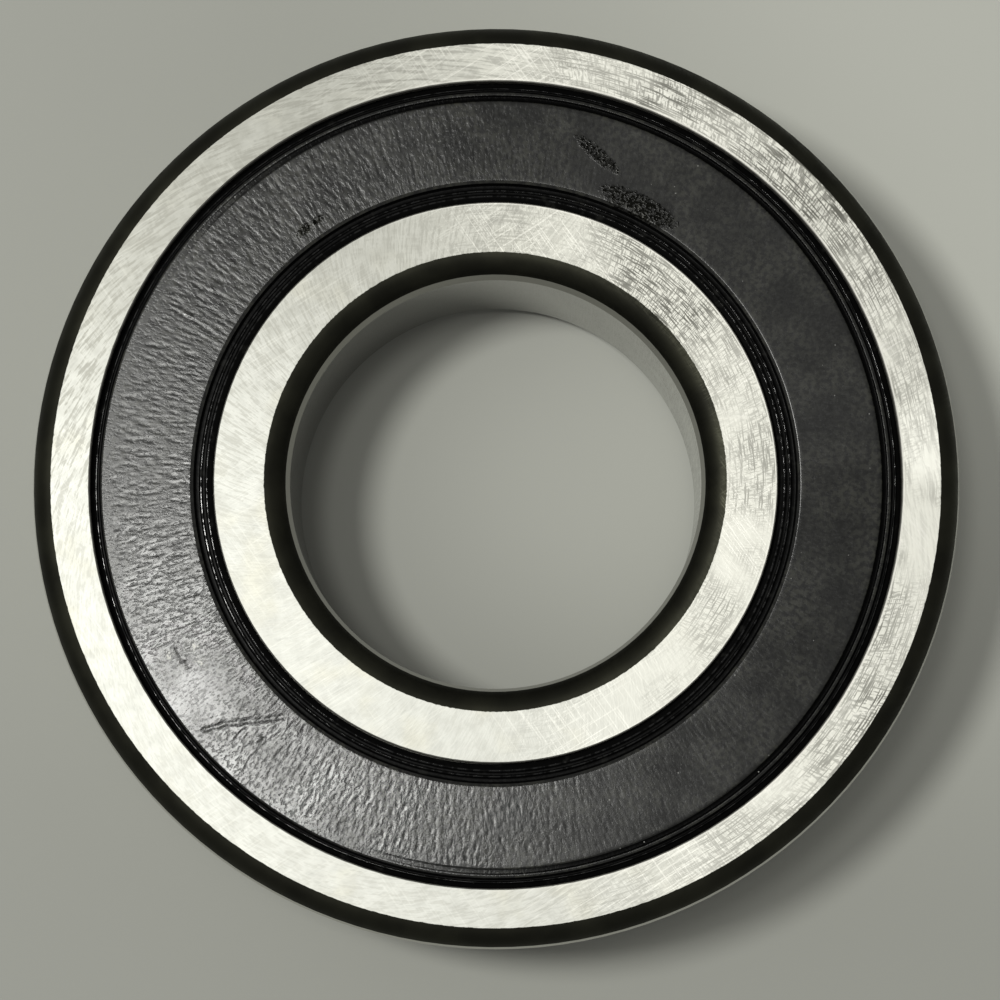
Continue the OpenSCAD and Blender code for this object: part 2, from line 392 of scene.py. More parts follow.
def swirl_group():
    """Noise that is stretched round the shaft axis or across it, and leans by Skew radians a metre."""
    given = {"Vector": None, "Around": 0.3 * MM, "Across": 2 * MM, "Skew": 0.0, "Seed": 0.0, "Detail": 2.0}
    tree, given, result = group("Swirl", given, ("Value",))
    parts = put(tree, "ShaderNodeSeparateXYZ", {0: given["Vector"]}).outputs
    across = put(tree, "ShaderNodeCombineXYZ", {"X": parts["X"], "Y": parts["Y"]}).outputs[0]
    radius = put(tree, "ShaderNodeVectorMath", {0: across}, operation="LENGTH").outputs["Value"]
    lean = sums(tree, "MULTIPLY", radius, given["Skew"])
    turned = put(
        tree, "ShaderNodeVectorRotate", {"Vector": across, "Angle": lean}, rotation_type="Z_AXIS",
    ).outputs[0]
    unit = put(tree, "ShaderNodeVectorMath", {0: turned}, operation="NORMALIZE").outputs[0]
    mean_radius = 0.5 * (BORE_R + OUTER_R)
    round_scale = sums(tree, "DIVIDE", mean_radius, given["Around"])
    round_it = put(
        tree, "ShaderNodeVectorMath", {0: unit, "Scale": round_scale}, operation="SCALE",
    ).outputs[0]
    out_and_up = sums(tree, "ADD", radius, parts["Z"])
    out_it = sums(tree, "DIVIDE", out_and_up, given["Across"])
    lift = put(
        tree, "ShaderNodeCombineXYZ", {"Z": sums(tree, "ADD", out_it, given["Seed"])},
    ).outputs[0]
    spot = put(tree, "ShaderNodeVectorMath", {0: round_it, 1: lift}, operation="ADD").outputs[0]
    grain = put(tree, "ShaderNodeTexNoise", {"Vector": spot, "Scale": 1.0, "Detail": given["Detail"]})
    tree.links.new(grain.outputs[0], result["Value"])
    return tree


def streak_group():
    """Straight scratches at an angle, gathered in patches."""
    given = {
        "Vector": None, "Angle": 0.5, "Width": 0.2 * MM, "Length": 3 * MM, "Patch": 9 * MM,
        "Amount": 0.5, "Seed": 0.0,
    }
    tree, given, result = group("Streaks", given, ("Mask",))
    turned = put(
        tree, "ShaderNodeVectorRotate", {"Vector": given["Vector"], "Angle": given["Angle"]},
        rotation_type="Z_AXIS",
    ).outputs[0]
    size = put(
        tree, "ShaderNodeCombineXYZ", {"X": given["Length"], "Y": given["Width"], "Z": given["Length"]},
    ).outputs[0]
    spot = put(tree, "ShaderNodeVectorMath", {0: turned, 1: size}, operation="DIVIDE").outputs[0]
    lift = put(tree, "ShaderNodeCombineXYZ", {"Z": given["Seed"]}).outputs[0]
    moved = put(tree, "ShaderNodeVectorMath", {0: spot, 1: lift}, operation="ADD").outputs[0]
    lines = put(tree, "ShaderNodeTexNoise", {"Vector": moved, "Scale": 1.0, "Detail": 1.5})
    patch_scale = sums(tree, "DIVIDE", 1.0, given["Patch"])
    far = put(tree, "ShaderNodeVectorMath", {0: given["Vector"], 1: lift}, operation="ADD").outputs[0]
    patch = put(tree, "ShaderNodeTexNoise", {"Vector": far, "Scale": patch_scale, "Detail": 1.0})
    limit = sums(tree, "SUBTRACT", 0.66, sums(tree, "MULTIPLY", patch.outputs[0], 0.14))
    thin = step(tree, lines.outputs[0], limit, sums(tree, "ADD", limit, 0.07))
    heavy = step(tree, patch.outputs[0], 0.38, 0.62)
    mask = sums(tree, "MULTIPLY", sums(tree, "MULTIPLY", thin, heavy), given["Amount"])
    tree.links.new(mask, result["Mask"])
    return tree


def speck_group():
    """Small scattered dots of dust."""
    given = {"Vector": None, "Spacing": 0.6 * MM, "Size": 0.12, "Seed": 0.0}
    tree, given, result = group("Specks", given, ("Mask",))
    lift = put(tree, "ShaderNodeCombineXYZ", {"Z": given["Seed"]}).outputs[0]
    moved = put(tree, "ShaderNodeVectorMath", {0: given["Vector"], 1: lift}, operation="ADD").outputs[0]
    scale = sums(tree, "DIVIDE", 1.0, given["Spacing"])
    cells = put(tree, "ShaderNodeTexVoronoi", {"Vector": moved, "Scale": scale})
    chance = put(tree, "ShaderNodeSeparateColor", {0: cells.outputs["Color"]}).outputs[0]
    reach = sums(tree, "MULTIPLY", given["Size"], step(tree, chance, 0.6, 1.0))
    tree.links.new(sums(tree, "LESS_THAN", cells.outputs["Distance"], reach), result["Mask"])
    return tree


GROUPS = {}


def use(tree, name, inputs):
    """Places one of the shared node groups, built on first use, and returns its outputs."""
    makers = {"place": place_group, "swirl": swirl_group, "streaks": streak_group, "specks": speck_group}
    if name not in GROUPS:
        GROUPS[name] = makers[name]()
    made = tree.nodes.new("ShaderNodeGroup")
    made.node_tree = GROUPS[name]
    for key, value in inputs.items():
        if isinstance(value, bpy.types.NodeSocket):
            tree.links.new(value, made.inputs[key])
        else:
            made.inputs[key].default_value = value
    return made.outputs


def new_material(name, metallic, specular=0.5):
    """A material, its tree, its Principled BSDF and the Object coordinates."""
    material = bpy.data.materials.new(name)
    material.use_nodes = True
    tree = material.node_tree
    shader = tree.nodes["Principled BSDF"]
    shader.inputs["Metallic"].default_value = metallic
    shader.inputs["Specular IOR Level"].default_value = specular
    spot = put(tree, "ShaderNodeTexCoord").outputs["Object"]
    return material, tree, shader, spot


def bump(tree, shader, height, distance):
    """Raises the surface by a height that varies from 0 to 1."""
    made = put(tree, "ShaderNodeBump", {"Height": height, "Distance": distance, "Strength": 1.0})
    tree.links.new(made.outputs[0], shader.inputs["Normal"])


# --- materials -----------------------------------------------------------------------------------


def ring_material(
    name, corner_r, side, corner_w, foot_z, race_z, seal_edge_r, wall_tone_and_shade, lay_share, depth,
):
    """Ring steel: ground face, dark corner, ground wall, polished raceway and turned grooves.

    corner_r is where the dark corner starts, and side is 1 if it lies outside that and -1 if inside.
    lay_share is how much the slanting grinding marks count beside the arcs, and depth how dark they are.
    """
    steel = bpy.context.scene.bearing_steel
    sizes = bpy.context.scene.bearing_sizes
    material, tree, shader, spot = new_material(name, 1.0)
    place = use(tree, "place", {"Vector": spot})
    radius, height = place["Radius"], place["Height"]

    # Distance past the ground face's edge, into the corner
    ragged = use(tree, "swirl", {
        "Vector": spot, "Around": 0.5 * MM, "Across": 0.8 * MM, "Detail": 3.0})
    jag = sums(tree, "MULTIPLY", sums(tree, "SUBTRACT", ragged["Value"], 0.45), 2 * sizes.jag)
    past = sums(tree, "MULTIPLY", sums(tree, "SUBTRACT", radius, corner_r), side)
    jagged = sums(tree, "ADD", past, sums(tree, "MAXIMUM", jag, 0.0))
    above_foot = step(tree, height, foot_z - 0.02 * MM, foot_z + 0.02 * MM)
    dark = sums(tree, "MULTIPLY", step(tree, jagged, -0.02 * MM, 0.03 * MM), above_foot)
    on_top = step(tree, height, FACE_Z - 0.1 * MM, FACE_Z - 0.04 * MM)
    face = sums(tree, "MULTIPLY", on_top, unless(tree, dark))
    at_wall = step(tree, past, corner_w - 0.42 * MM, corner_w - 0.38 * MM)
    wall = sums(tree, "MULTIPLY", at_wall, unless(tree, above_foot))
    in_race = unless(tree, step(tree, height, race_z - 0.03 * MM, race_z + 0.03 * MM))
    race = sums(tree, "MULTIPLY", in_race, unless(tree, at_wall))

    # Grinding marks, coloured in arcs round the spot where the light catches them: painted light and shade
    # over the real marks
    moved = put(tree, "ShaderNodeVectorMath", {0: spot, 1: GLINT_ARC_CENTRE}, operation="SUBTRACT").outputs[0]
    arcs = use(tree, "swirl", {
        "Vector": moved, "Around": 2.0 * MM, "Across": 0.3 * MM, "Seed": 2.0, "Detail": 3.5})
    lay = use(tree, "swirl", {
        "Vector": spot, "Around": 0.34 * MM, "Across": 1.8 * MM, "Skew": 16.0, "Detail": 3.0})
    grain = sums(tree, "MULTIPLY", arcs["Value"], 1 - lay_share)
    grain = sums(tree, "MULTIPLY_ADD", lay["Value"], lay_share, grain)

    # Handling marks, heaviest at the right: short strokes across the face and long ones round it
    parts = put(tree, "ShaderNodeSeparateXYZ", {0: spot}).outputs
    far_side = sums(tree, "MULTIPLY_ADD", parts["Y"], 0.22, parts["X"])
    handled_and_lit = step(tree, far_side, -0.012, 0.026)
    patch = speckle(tree, spot, 130.0, 2.0)
    worst = most(tree, [near(tree, spot, middle, 4 * MM, 15 * MM) for middle in SCUFFED])
    worst = sums(tree, "MULTIPLY", worst, 0.45)
    scuffed = sums(tree, "MULTIPLY_ADD", step(tree, patch, 0.34, 0.62), 0.55, worst)
    clean = unless(tree, near(tree, spot, CLEAN, 2.5 * MM, 6 * MM))
    scuffed = sums(tree, "MULTIPLY", handled_and_lit, scuffed)
    scuffed = sums(tree, "MULTIPLY", scuffed, sums(tree, "MULTIPLY_ADD", clean, 0.45, 0.55))
    short = use(tree, "swirl", {
        "Vector": spot, "Around": 0.15 * MM, "Across": 0.8 * MM, "Skew": -8.0, "Seed": 6.0})
    long = use(tree, "swirl", {"Vector": spot, "Around": 2.4 * MM, "Across": 0.14 * MM, "Seed": 5.0})
    nicks = sums(tree, "MULTIPLY", step(tree, short["Value"], 0.49, 0.57), 0.7)
    nicks = sums(tree, "MAXIMUM", nicks, step(tree, long["Value"], 0.5, 0.58))
    nicks = sums(tree, "MULTIPLY", nicks, scuffed)
    scores = use(tree, "streaks", {
        "Vector": spot, "Angle": math.radians(-32), "Width": 0.13 * MM, "Length": 7 * MM,
        "Patch": 16 * MM, "Amount": 1.0, "Seed": 3.0})
    arched = use(tree, "streaks", {
        "Vector": spot, "Angle": math.radians(55), "Width": 0.13 * MM, "Length": 6 * MM,
        "Patch": 13 * MM, "Amount": 1.0, "Seed": 11.0})
    bright = sums(tree, "MULTIPLY", sums(tree, "MAXIMUM", scores["Mask"], arched["Mask"]),
                  sums(tree, "MULTIPLY_ADD", handled_and_lit, 0.85, 0.1))
    # Bare edge beside the seal
    rubbed = sums(tree, "SUBTRACT", radius, seal_edge_r)
    edge = sums(tree, "LESS_THAN", sums(tree, "ABSOLUTE", rubbed), 0.1 * MM)
    edge = sums(tree, "MULTIPLY", edge, handled_and_lit)

    # Colour of the face: stains, painted shade on the far side, painted light on the right, grinding
    # strokes, scores, nicks and the bare edge
    smudge = speckle(tree, spot, 190.0, 3.0)
    stained = sums(tree, "MULTIPLY", step(tree, smudge, 0.52, 0.72), 0.6)
    worn = blend(tree, stained, steel.ground, STAINED)
    cloudy = speckle(tree, spot, 620.0, 4.0)
    # Painted shade: the far side is coloured darker; the cloudy part is the steel's own tone
    dull_and_shaded = sums(tree, "MULTIPLY", step(tree, parts["Y"], -0.002, 0.03), 0.75)
    dull_and_shaded = sums(tree, "MULTIPLY_ADD", step(tree, cloudy, 0.35, 0.7), 0.25, dull_and_shaded)
    worn = blend(tree, dull_and_shaded, worn, DULLED_AND_SHADED)
    # Painted light: the right side, where the handling marks are, is coloured paler
    worn = blend(tree, handled_and_lit, worn, HANDLED_AND_LIT)
    worn = blend(tree, clean, RUBBED_CLEAN, worn)
    # Painted shade: the strokes are coloured stronger towards the far side
    farther = sums(tree, "MULTIPLY_ADD", step(tree, parts["Y"], -0.02, 0.015), 0.55, 0.45)
    faint = sums(tree, "MULTIPLY_ADD", handled_and_lit, -0.65 * depth, depth)
    faint = sums(tree, "MULTIPLY", faint, farther)
    strokes_and_shade = sums(tree, "MULTIPLY", step(tree, grain, 0.55, 0.4), faint)
    worn = blend(tree, strokes_and_shade, worn, STROKE_AND_SHADE)
    worn = blend(tree, sums(tree, "MULTIPLY", bright, 0.8), worn, SCORE)
    worn = blend(tree, sums(tree, "MULTIPLY", nicks, 0.85), worn, NICK)
    worn = blend(tree, edge, worn, BARE_EDGE)

    # Colour of the rest, with the lines left round the walls and raceways
    lines = use(tree, "swirl", {"Vector": spot, "Around": 9 * MM, "Across": 0.22 * MM, "Seed": 8.0})
    # The wall tone scales the walls' colour; the inner ring's low tone is painted shade on the bore wall
    wall_low = [wall_tone_and_shade * part for part in WALL] + [1]
    walls = blend(tree, lines["Value"], wall_low, [min(1, 1.2 * part) for part in wall_low])
    polished = blend(tree, lines["Value"], LAPPED_LOW, LAPPED_HIGH)
    mottled = blend(tree, step(tree, smudge, 0.35, 0.7), steel.scale, PALER_SCALE)
    colour = blend(tree, face, steel.turned, worn)
    colour = blend(tree, race, colour, polished)
    colour = blend(tree, wall, colour, walls)
    colour = blend(tree, dark, colour, mottled)
    tree.links.new(colour, shader.inputs["Base Color"])

    rough_face = sums(tree, "MULTIPLY_ADD", grain, 0.25, 0.385)
    rough_face = sums(tree, "MULTIPLY_ADD", nicks, 0.15, rough_face)
    rough_face = sums(tree, "MULTIPLY_ADD", bright, -0.12, rough_face)
    rough = sums(tree, "MULTIPLY_ADD", race, -0.43, rough_face)
    rough = sums(tree, "MULTIPLY_ADD", wall, -0.39, rough)
    tree.links.new(rough, shader.inputs["Roughness"])

    relief = sums(tree, "MULTIPLY_ADD", nicks, -0.5, grain)
    relief = sums(tree, "MULTIPLY", relief, face)
    ridges = sums(tree, "MULTIPLY", lines["Value"], unless(tree, face))
    bump(tree, shader, sums(tree, "ADD", relief, sums(tree, "MULTIPLY", ridges, 0.15)), 0.006 * MM)
    return material


def skin_material():
    """Moulded matt skin of the seal: fine folds, wiped and crumbled places, dust, and painted shade in the
    folds, the crumbled places and the groove.
    """
    seal = bpy.context.scene.bearing_seal
    material, tree, shader, spot = new_material("Seal Skin", 0.0)
    parts = put(tree, "ShaderNodeSeparateXYZ", {0: spot}).outputs
    rippled = unless(tree, sums(tree, "MULTIPLY", step(tree, parts["X"], -0.012, 0.012), 0.72))
    calm = sums(tree, "MULTIPLY_ADD", near(tree, spot, CALM, 2 * MM, 7 * MM), -0.6, 1.0)
    stroke = use(tree, "swirl", {
        "Vector": spot, "Around": 0.21 * MM, "Across": 0.42 * MM, "Detail": 2.0, "Seed": 9.0})
    folds = step(tree, stroke["Value"], 0.48, 0.72)
    folds = sums(tree, "MULTIPLY", folds, sums(tree, "MULTIPLY", calm, rippled))
    grain = speckle(tree, spot, 5500.0, 2.0)
    dust = use(tree, "specks", {"Vector": spot, "Spacing": 1.1 * MM, "Size": 0.08})
    cloud = step(tree, speckle(tree, spot, 260.0, 4.0), 0.3, 0.7)
    wiped = speckle(tree, spot, 75.0, 2.0)
    mottle = speckle(tree, spot, 1900.0, 4.0)
    flakes = speckle(tree, spot, 4200.0, 2.0)
    chafed = most(tree, [near(tree, spot, middle, 0.1 * MM, 0.75 * MM) for middle in CHAFED])
    chafed = sums(tree, "MULTIPLY", step(tree, chafed, 0.05, 0.6), step(tree, flakes, 0.53, 0.58))
    dusty = sums(tree, "MAXIMUM", sums(tree, "MULTIPLY", dust["Mask"], 0.18), chafed)

    # The crumbled places, ragged at their edges and gritty inside; their black is painted pit shade
    worn = []
    for middle, lean, stretch, reach, strength in CRUMBLED:
        spread = long_spot(tree, spot, middle, lean, stretch, reach * MM)
        worn.append(sums(tree, "MULTIPLY", spread, strength))
    worn = most(tree, worn)
    pits = speckle(tree, spot, 2900.0, 4.0)
    ragged = sums(tree, "MULTIPLY_ADD", pits, 3.6, -1.75)
    crumbling = sums(tree, "ADD", worn, sums(tree, "MULTIPLY", ragged, step(tree, worn, 0.0, 0.15)))
    crumbling = sums(tree, "MULTIPLY", step(tree, crumbling, 0.1, 0.6), step(tree, worn, 0.0, 0.1))
    grit = sums(tree, "MULTIPLY_ADD", step(tree, flakes, 0.48, 0.6), -0.7, 1.0)
    crumbling = sums(tree, "MAXIMUM", crumbling, sums(tree, "MULTIPLY", step(tree, worn, 0.02, 0.4), 0.75))
    crumbling = sums(tree, "MULTIPLY", crumbling, grit)

    # Painted shade in the groove beside the rim, black where it is deep; the lower seal is turned over
    radius = use(tree, "place", {"Vector": spot})["Radius"]
    seen_from_face = sums(tree, "MULTIPLY", parts["Y"], sums(tree, "SIGN", parts["Z"]))
    facing = sums(tree, "MULTIPLY", seen_from_face, math.sin(GROOVE_TURN))
    facing = sums(tree, "MULTIPLY_ADD", parts["X"], math.cos(GROOVE_TURN), facing)
    facing = sums(tree, "DIVIDE", facing, radius)
    groove = sums(tree, "MULTIPLY", step(tree, radius, BEAD_R - 2.56 * MM, BEAD_R - 2.46 * MM),
                  step(tree, radius, BEAD_R - 1.9 * MM, BEAD_R - 2.02 * MM))
    groove = sums(tree, "MULTIPLY", groove, step(tree, facing, -0.75, -0.1))

    colour = blend(tree, cloud, seal.rubber, GREYED)
    colour = blend(tree, step(tree, mottle, 0.4, 0.6), colour, MOTTLED)
    # Painted shade: the folds are coloured darker
    colour = blend(tree, sums(tree, "MULTIPLY", folds, 0.8), colour, FOLD_SHADE)
    colour = blend(tree, crumbling, colour, CRUMBLE_AND_SHADE)
    colour = blend(tree, groove, colour, GROOVE_SHADE)
    colour = blend(tree, dusty, colour, DUST)
    tree.links.new(colour, shader.inputs["Base Color"])
    # Painted shade: a black metal reflects less than rubber, so the crumbled places and the groove look as
    # dark as a deep pit
    pit_and_groove_shade = sums(tree, "MAXIMUM", crumbling, groove)
    tree.links.new(pit_and_groove_shade, shader.inputs["Metallic"])
    rough = sums(tree, "MULTIPLY_ADD", cloud, 0.04, 0.145)
    rough = sums(tree, "MULTIPLY_ADD", step(tree, wiped, 0.4, 0.65), 0.03, rough)
    rough = sums(tree, "MULTIPLY_ADD", folds, 0.12, rough)
    rough = sums(tree, "MULTIPLY_ADD", step(tree, parts["Y"], -0.008, 0.014), 0.05, rough)
    rough = sums(tree, "MULTIPLY_ADD", step(tree, parts["X"], 0.0, 0.02), 0.02, rough)
    rough = sums(tree, "MULTIPLY_ADD", dusty, 0.5, rough)
    tree.links.new(rough, shader.inputs["Roughness"])
    relief = sums(tree, "MULTIPLY_ADD", folds, -0.9, sums(tree, "MULTIPLY", grain, 0.3))
    relief = sums(tree, "MULTIPLY_ADD", pit_and_groove_shade, 1.4, relief)
    bump(tree, shader, relief, 0.0065 * MM)
    return material


def lip_material():
    """Polished rubber of the lip and the rim, wiped clean in places."""
    seal = bpy.context.scene.bearing_seal
    material, tree, shader, spot = new_material("Seal Lip", 0.0, 0.04)
    radius = use(tree, "place", {"Vector": spot})["Radius"]
    ripple = use(tree, "swirl", {"Vector": spot, "Around": 0.8 * MM, "Across": 0.4 * MM, "Seed": 4.0})
    wiped = use(tree, "swirl", {"Vector": spot, "Around": 0.7 * MM, "Across": 3 * MM, "Seed": 7.0})
    lint = speckle(tree, spot, 900.0, 3.0)
    colour = blend(tree, step(tree, lint, 0.6, 0.75), seal.lip, LINT)
    tree.links.new(colour, shader.inputs["Base Color"])
    tree.links.new(sums(tree, "MULTIPLY_ADD", lint, 0.2, 0.2), shader.inputs["Roughness"])
    ridges = [
        sums(tree, "LESS_THAN", sums(tree, "ABSOLUTE", sums(tree, "SUBTRACT", radius, ridge)), 0.1 * MM)
        for ridge in (LIP_TIP_R + 0.63 * MM, LIP_TIP_R + 1.18 * MM, BEAD_R - 1.23 * MM)
    ]
    glossy = sums(tree, "MULTIPLY", most(tree, ridges), step(tree, wiped["Value"], 0.42, 0.6))
    tree.links.new(glossy, shader.inputs["Coat Weight"])
    shader.inputs["Coat Roughness"].default_value = 0.12
    bump(tree, shader, ripple["Value"], 0.02 * MM)
    return material


def plain_steel(name, low, high, patch, rough, spread, relief, marks=0.3):
    """Steel whose colour and roughness drift in patches, with fine marks over it."""
    material, tree, shader, spot = new_material(name, 1.0)
    drift = speckle(tree, spot, 1 / patch, 4.0)
    nick = use(tree, "streaks", {
        "Vector": spot, "Angle": 0.7, "Width": 0.12 * MM, "Length": 1.6 * MM, "Patch": 5 * MM,
        "Amount": marks, "Seed": 2.0})
    colour = blend(tree, step(tree, drift, 0.3, 0.7), low, high)
    colour = blend(tree, nick["Mask"], colour, STEEL_NICK)
    tree.links.new(colour, shader.inputs["Base Color"])
    uneven = sums(tree, "ADD", rough, sums(tree, "MULTIPLY", drift, spread))
    uneven = sums(tree, "ADD", uneven, sums(tree, "MULTIPLY", nick["Mask"], 0.2))
    tree.links.new(uneven, shader.inputs["Roughness"])
    bump(tree, shader, sums(tree, "SUBTRACT", drift, nick["Mask"]), relief)
    return material


def finish_nodes(names, material):
    """Gives CAD nodes a material in the slots that they have."""
    for name in names:
        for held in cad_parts[name].material_slots:
            held.material = material


# --- modelling the seals -------------------------------------------------------------------------


def rounded(points, steps):
    """Points of an outline whose corners are rounded: each corner's radius is its third number."""
    path = []
    for index, (x, z, radius) in enumerate(points):
        here = Vector((x, z))
        if radius == 0:
            path.append(here)
            continue
        before, after = points[index - 1], points[(index + 1) % len(points)]
        back, ahead = Vector(before[:2]) - here, Vector(after[:2]) - here
        turn = back.angle(ahead)
        cut = min(radius / math.tan(turn / 2), 0.45 * back.length, 0.45 * ahead.length)
        start, end = here + back.normalized() * cut, here + ahead.normalized() * cut
        for number in range(steps + 1):
            share = number / steps
            path.append(start * (1 - share) ** 2 + here * 2 * share * (1 - share) + end * share ** 2)
    return path


def seal_outline(rings):
    """Section of the upper seal's rubber as (radius, height), with the skin cut into rings."""
    flange_r = INSERT_OUTER_R - INSERT_SHEET
    plate_z = INSERT_HIGH.z - INSERT_SHEET
    neck_r = INSERT_INNER_R + LIP_NECK
    corners = [(LIP_TIP_R + x * MM, SEAL_TOP_Z - z * MM, r * MM) for x, z, r in LIP]
    corners += [(BEAD_R - x * MM, SEAL_TOP_Z - z * MM, r * MM) for x, z, r in RIM]
    corners += [
        (flange_r, SEAL_SEAT_Z, 0), (flange_r, INSERT_LOW.z, 0),
        (INSERT_OUTER_R, INSERT_LOW.z, 0), (INSERT_OUTER_R, INSERT_HIGH.z, 0),
        (INSERT_INNER_R, INSERT_HIGH.z, 0), (INSERT_INNER_R, plate_z, 0),
        (neck_r, plate_z, 0), (neck_r, plate_z - LIP_NECK_DROP, 0.1 * MM),
    ]
    path = rounded(corners, 3)
    flat = [
        index for index, point in enumerate(path)
        if abs(point.y - SEAL_TOP_Z) < 0.1 * TOUCH and point.x > INSERT_INNER_R - MM
    ]
    first, last = flat[0], flat[-1]
    skin = [path[first].lerp(path[last], number / rings) for number in range(1, rings)]
    return path[:first + 1] + skin + path[last:]


def select_edges(mesh, wanted):
    """Selects the edges that wanted says yes to, in object mode."""
    for item in (*mesh.vertices, *mesh.polygons):
        item.select = False
    for edge in mesh.edges:
        a, b = (mesh.vertices[index].co for index in edge.vertices)
        edge.select = wanted(a, b)


def spin_outline(name, path, segments):
    """A closed ring: a circle's points are laid on the outline, and it is spun round the axis."""
    bpy.ops.object.select_all(action="DESELECT")
    bpy.ops.mesh.primitive_circle_add(vertices=len(path), radius=OUTER_R, fill_type="NOTHING")
    ring = bpy.context.object
    ring.name = ring.data.name = name
    for vertex, point in zip(ring.data.vertices, path):
        vertex.co = (point.x, 0, point.y)
    bpy.ops.object.mode_set(mode="EDIT")
    bpy.ops.mesh.select_all(action="SELECT")
    bpy.ops.mesh.spin(steps=segments, angle=2 * math.pi, center=(0, 0, 0), axis=(0, 0, 1))
    bpy.ops.mesh.select_all(action="SELECT")
    bpy.ops.mesh.remove_doubles(threshold=TOUCH)
    bpy.ops.mesh.normals_make_consistent(inside=False)
    bpy.ops.object.mode_set(mode="OBJECT")
    return ring


def move_points(mesh, points):
    """Puts the mesh's vertices at the given rows."""
    mesh.vertices.foreach_set("co", points.reshape(-1))
    mesh.update()


def wrinkled(points, skin_r, settings):
    """Heights of the moulded skin: shallow folds that run across the seal, and pebbles at the near side."""
    heights = np.zeros(len(points))
    mean_r = 0.5 * (skin_r[0] + skin_r[1])
    fade = 0.35 * MM
    for index, (x, y, _) in enumerate(points):
        r = math.hypot(x, y)
        edge = min(r - skin_r[0], skin_r[1] - r) / fade
        if edge <= 0:
            continue
        around = mean_r / settings.wrinkle_width / r
        bend = 0.35 * noise.noise(Vector((x, y, 0)) / (2.2 * MM))
        spot = Vector((x * around + bend, y * around + bend, r / settings.wrinkle_length))
        pebble = noise.noise(Vector((x, y, 0)) / (0.42 * MM))
        low = min(max((-y - abs(x) / 2 - 14 * MM) / (10 * MM), 0), 1)
        depth = min(max((1 - low) * noise.noise(spot) + low * pebble + 0.02, 0) / 0.4, 1)
        swell = noise.noise(Vector((x, y, 3 * MM)) / (2.5 * MM))
        calm = 1 - 0.8 * math.exp(-((x - CALM[0]) ** 2 + (y - CALM[1]) ** 2) / (4.5 * MM) ** 2)
        calm *= 0.65 - 0.35 * max(-1, min(1, x / (15 * MM)))
        heights[index] = min(edge, 1) * calm * (0.12 * swell - depth) * settings.wrinkle_height
    return heights


def pressed(points):
    """Heights of the creases and crumbs at the given points."""
    flat = points[:, :2]
    heights = np.zeros(len(points))
    for depth, crease in CREASES:
        nearest = np.full(len(points), 1.0)
        for start, end in zip(crease, crease[1:]):
            a, b = np.array(start) * MM, np.array(end) * MM
            share = np.clip((flat - a) @ (b - a) / ((b - a) @ (b - a)), 0, 1)
            nearest = np.minimum(nearest, np.linalg.norm(flat - a - share[:, None] * (b - a), axis=1))
        heights -= depth * MM * np.exp(-(nearest / (0.17 * MM)) ** 2)
    for x, y, reach, height in CRUMBS:
        away = np.hypot(flat[:, 0] - x * MM, flat[:, 1] - y * MM) / (reach * MM)
        heights += height * MM * np.exp(-away ** 4)
    return heights


def mould_skin(seal, settings):
    """Cuts the flat skin finer round the seal and raises its wrinkles."""
    top = SEAL_TOP_Z - TOUCH
    skin_r = (LIP_TIP_R + (LIP[-1][0] - 0.05) * MM, BEAD_R - (RIM[0][0] + 0.05) * MM)

    def round_the_skin(a, b):
        if min(a.z, b.z) < top:
            return False
        ra, rb = math.hypot(a.x, a.y), math.hypot(b.x, b.y)
        return skin_r[0] < ra < skin_r[1] and abs(ra - rb) < TOUCH

    bpy.ops.object.mode_set(mode="EDIT")
    bpy.ops.mesh.select_mode(type="EDGE")
    bpy.ops.mesh.select_all(action="DESELECT")
    bpy.ops.object.mode_set(mode="OBJECT")
    select_edges(seal.data, round_the_skin)
    bpy.ops.object.mode_set(mode="EDIT")
    bpy.ops.mesh.subdivide(number_cuts=settings.skin_cuts, ngon=False)
    bpy.ops.mesh.select_mode(type="VERT")
    bpy.ops.object.mode_set(mode="OBJECT")
    points = points_of(seal.data)
    on_skin = np.flatnonzero(points[:, 2] > top)
    points[on_skin, 2] += wrinkled(points[on_skin], skin_r, settings)
    points[on_skin, 2] += pressed(points[on_skin])
    move_points(seal.data, points)


def fade_groove(seal):
    """Fills the groove beside the rim where the seal sits close to its ring."""
    points = points_of(seal.data)
    inside = BEAD_R - np.hypot(points[:, 0], points[:, 1])
    groove = (inside > GROOVE_SPAN[0]) & (inside < GROOVE_SPAN[1])
    groove &= (points[:, 2] > SEAL_TOP_Z - TOP_BAND) & (points[:, 2] < SEAL_TOP_Z - TOUCH)
    facing = np.cos(np.arctan2(points[:, 1], points[:, 0]) - GROOVE_TURN)
    filled = np.clip(0.45 - 0.85 * facing, 0, 1)
    points[groove, 2] += (SEAL_TOP_Z - points[groove, 2]) * filled[groove]
    move_points(seal.data, points)


def part_lip(seal):
    """Puts the second material on every face outside the flat skin."""
    centres = np.zeros(3 * len(seal.data.polygons))
    seal.data.polygons.foreach_get("center", centres)
    centres = centres.reshape(-1, 3)
    reach = np.hypot(centres[:, 0], centres[:, 1])
    skin = centres[:, 2] > SEAL_TOP_Z - TOP_BAND
    skin &= (reach > LIP_TIP_R + SKIN_INNER) & (reach < BEAD_R - SKIN_OUTER)
    seal.data.polygons.foreach_set("material_index", np.where(skin, 0, 1).astype(np.int32))
    seal.data.update()


def smooth(piece, angle=math.radians(40)):
    """Shades a piece smoothly but for its sharp edges."""
    bpy.ops.object.select_all(action="DESELECT")
    bpy.context.view_layer.objects.active = piece
    piece.select_set(True)
    bpy.ops.object.shade_smooth_by_angle(angle=angle)


# --- operators -----------------------------------------------------------------------------------


